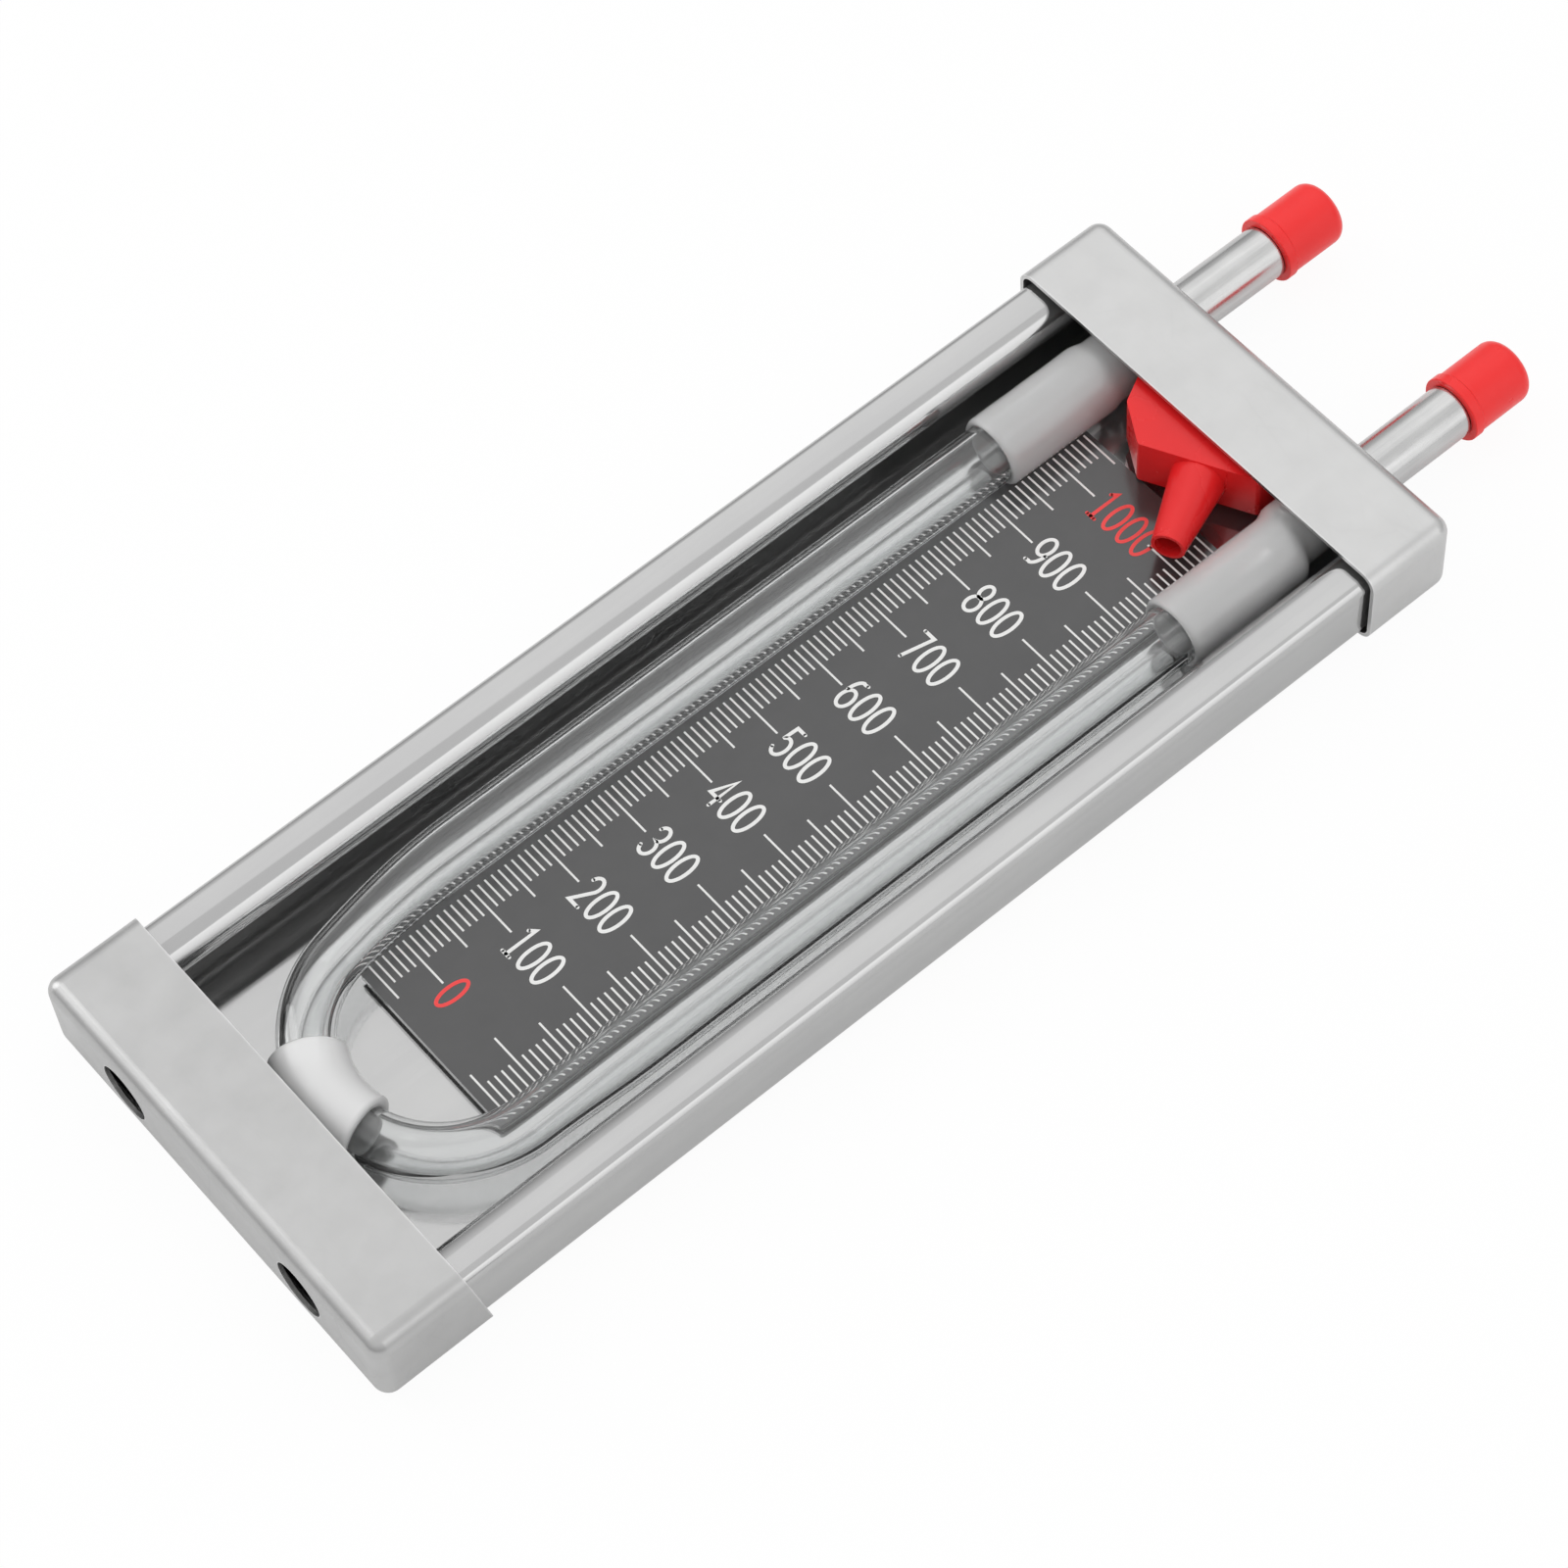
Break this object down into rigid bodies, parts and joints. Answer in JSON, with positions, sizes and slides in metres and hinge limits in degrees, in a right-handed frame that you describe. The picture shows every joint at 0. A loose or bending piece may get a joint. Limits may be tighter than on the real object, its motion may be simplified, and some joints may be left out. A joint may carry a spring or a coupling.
{
  "type": "u-tube manometer",
  "caption": "Pocket U-tube manometer: glass tube and pressure scale in a bent steel channel with end cups, hose nipples, dust caps and a stowed filling funnel.",
  "frame": {"origin": "middle of the object's footprint, on the surface that the backs of the two end cups stand on", "axes": "+X across the dial to its right, +Y along the tube towards the nipples, +Z out of the dial's face"},
  "size_m": [0.0632, 0.1886, 0.0128],
  "materials": {
    "polished_steel": "bright rolled stainless sheet",
    "satin_steel": "satin stainless sheet",
    "nipple_steel": "drawn stainless tube",
    "tube_glass": "clear drawn glass tube",
    "silicone": "frosted translucent silicone",
    "scale_black": "glossy black plate with white graduation",
    "tape": "white foam adhesive tape",
    "red_vinyl": "dipped soft vinyl, semi-gloss",
    "red_plastic": "moulded soft plastic, slightly translucent"
  },
  "bodies": {
    "case": {"channel": "polished_steel", "top_end_cup": "satin_steel", "bottom_end_cup": "satin_steel", "left_nipple": "nipple_steel", "right_nipple": "nipple_steel", "glass_u_tube": "tube_glass", "left_sleeve": "silicone", "right_sleeve": "silicone", "scale_plate": "scale_black", "backing_tape": "tape", "bend_cushion": "silicone"},
    "left_cap": {"left_dust_cap": "red_vinyl"},
    "right_cap": {"right_dust_cap": "red_vinyl"},
    "funnel": {"filling_funnel": "red_plastic"}
  },
  "joints": [
    {"name": "left_cap_pull", "type": "slide", "parent": "case", "child": "left_cap", "axis": [0, 1, 0], "range_m": [0, 0.03]},
    {"name": "right_cap_pull", "type": "slide", "parent": "case", "child": "right_cap", "axis": [0, 1, 0], "range_m": [0, 0.03]},
    {"name": "funnel_draw", "type": "slide", "parent": "case", "child": "funnel", "axis": [0, -1, 0], "range_m": [0, 0.012]}
  ]
}
